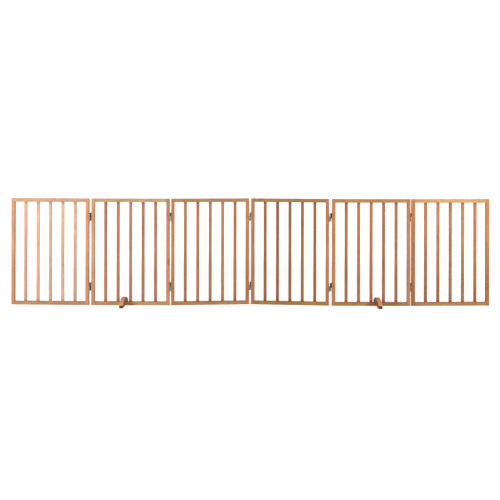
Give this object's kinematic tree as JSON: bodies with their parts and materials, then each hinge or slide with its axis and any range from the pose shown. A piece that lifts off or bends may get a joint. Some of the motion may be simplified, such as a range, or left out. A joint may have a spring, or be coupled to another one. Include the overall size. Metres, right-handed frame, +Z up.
{
  "type": "folding pet gate",
  "caption": "Free-standing folding pet gate of slatted wooden panels joined by double-action hinges, on two arched wooden feet that drop over the bottom rails.",
  "frame": {"origin": "on the floor, midway along the gate and midway between the ends of the feet", "axes": "+X along the gate from panel 1 to panel 6, +Y to the back, +Z up; the front faces -Y"},
  "size_m": [2.7448, 0.2096, 0.61],
  "materials": {
    "frame_wood": "satin stained wood",
    "slat_wood": "satin stained wood",
    "foot_wood": "satin stained wood",
    "hinge_metal": "dark bronze, satin",
    "pin_steel": "satin",
    "screw_steel": "black oxide, satin"
  },
  "bodies": {
    "panel_1": {"panel_1_left_stile": "frame_wood", "panel_1_right_stile": "frame_wood", "panel_1_top_rail": "frame_wood", "panel_1_bottom_rail": "frame_wood", "panel_1_slats": "slat_wood", "panel_1_hinge_screws": "screw_steel", "hinge_1_left_leaves": "hinge_metal"},
    "panel_2": {"panel_2_left_stile": "frame_wood", "panel_2_right_stile": "frame_wood", "panel_2_top_rail": "frame_wood", "panel_2_bottom_rail": "frame_wood", "panel_2_slats": "slat_wood", "panel_2_hinge_screws": "screw_steel", "hinge_2_left_leaves": "hinge_metal", "hinge_1_right_leaves": "hinge_metal", "left_foot": "foot_wood", "left_foot_screw": "screw_steel"},
    "panel_3": {"panel_3_left_stile": "frame_wood", "panel_3_right_stile": "frame_wood", "panel_3_top_rail": "frame_wood", "panel_3_bottom_rail": "frame_wood", "panel_3_slats": "slat_wood", "panel_3_hinge_screws": "screw_steel", "hinge_3_left_leaves": "hinge_metal", "hinge_2_right_leaves": "hinge_metal"},
    "panel_4": {"panel_4_left_stile": "frame_wood", "panel_4_right_stile": "frame_wood", "panel_4_top_rail": "frame_wood", "panel_4_bottom_rail": "frame_wood", "panel_4_slats": "slat_wood", "panel_4_hinge_screws": "screw_steel", "hinge_4_left_leaves": "hinge_metal", "hinge_3_right_leaves": "hinge_metal"},
    "panel_5": {"panel_5_left_stile": "frame_wood", "panel_5_right_stile": "frame_wood", "panel_5_top_rail": "frame_wood", "panel_5_bottom_rail": "frame_wood", "panel_5_slats": "slat_wood", "panel_5_hinge_screws": "screw_steel", "hinge_5_left_leaves": "hinge_metal", "hinge_4_right_leaves": "hinge_metal", "right_foot": "foot_wood", "right_foot_screw": "screw_steel"},
    "panel_6": {"panel_6_left_stile": "frame_wood", "panel_6_right_stile": "frame_wood", "panel_6_top_rail": "frame_wood", "panel_6_bottom_rail": "frame_wood", "panel_6_slats": "slat_wood", "panel_6_hinge_screws": "screw_steel", "hinge_5_right_leaves": "hinge_metal"},
    "hinge_1_link": {"hinge_1_links": "hinge_metal", "hinge_1_pins": "pin_steel"},
    "hinge_2_link": {"hinge_2_links": "hinge_metal", "hinge_2_pins": "pin_steel"},
    "hinge_3_link": {"hinge_3_links": "hinge_metal", "hinge_3_pins": "pin_steel"},
    "hinge_4_link": {"hinge_4_links": "hinge_metal", "hinge_4_pins": "pin_steel"},
    "hinge_5_link": {"hinge_5_links": "hinge_metal", "hinge_5_pins": "pin_steel"}
  },
  "joints": [
    {"name": "seam_1_back_pin", "type": "hinge", "parent": "panel_2", "child": "hinge_1_link", "pos_m": [-0.91326, 0.011, 0.305], "axis": [0, 0, 1], "range_deg": [-129.96, 20.05]},
    {"name": "seam_1_front_pin", "type": "hinge", "parent": "hinge_1_link", "child": "panel_1", "pos_m": [-0.92127, -0.0095, 0.305], "axis": [0, 0, 1], "range_deg": [-18, 132]},
    {"name": "seam_2_back_pin", "type": "hinge", "parent": "panel_3", "child": "hinge_2_link", "pos_m": [-0.45796, 0.011, 0.305], "axis": [0, 0, -1], "range_deg": [-4.86, 150.14]},
    {"name": "seam_2_front_pin", "type": "hinge", "parent": "hinge_2_link", "child": "panel_2", "pos_m": [-0.45846, -0.011, 0.305], "axis": [0, 0, -1], "range_deg": [-155, 0]},
    {"name": "seam_3_front_pin", "type": "hinge", "parent": "panel_3", "child": "hinge_3_link", "pos_m": [-0.00293, 0.02763, 0.305], "axis": [0, 0, -1], "range_deg": [-18.73, 146.28]},
    {"name": "seam_3_back_pin", "type": "hinge", "parent": "hinge_3_link", "child": "panel_4", "pos_m": [0.00283, 0.04887, 0.305], "axis": [0, 0, -1], "range_deg": [-156, 9]},
    {"name": "seam_4_front_pin", "type": "hinge", "parent": "panel_4", "child": "hinge_4_link", "pos_m": [0.45413, -0.0116, 0.305], "axis": [0, 0, 1], "range_deg": [-131, 24]},
    {"name": "seam_4_back_pin", "type": "hinge", "parent": "hinge_4_link", "child": "panel_5", "pos_m": [0.46518, 0.00742, 0.305], "axis": [0, 0, 1], "range_deg": [-28.86, 126.14]},
    {"name": "seam_5_front_pin", "type": "hinge", "parent": "panel_5", "child": "hinge_5_link", "pos_m": [0.91998, -0.01458, 0.305], "axis": [0, 0, -1], "range_deg": [0, 150]},
    {"name": "seam_5_back_pin", "type": "hinge", "parent": "hinge_5_link", "child": "panel_6", "pos_m": [0.92048, 0.00742, 0.305], "axis": [0, 0, -1], "range_deg": [-147.96, 2.04]}
  ]
}
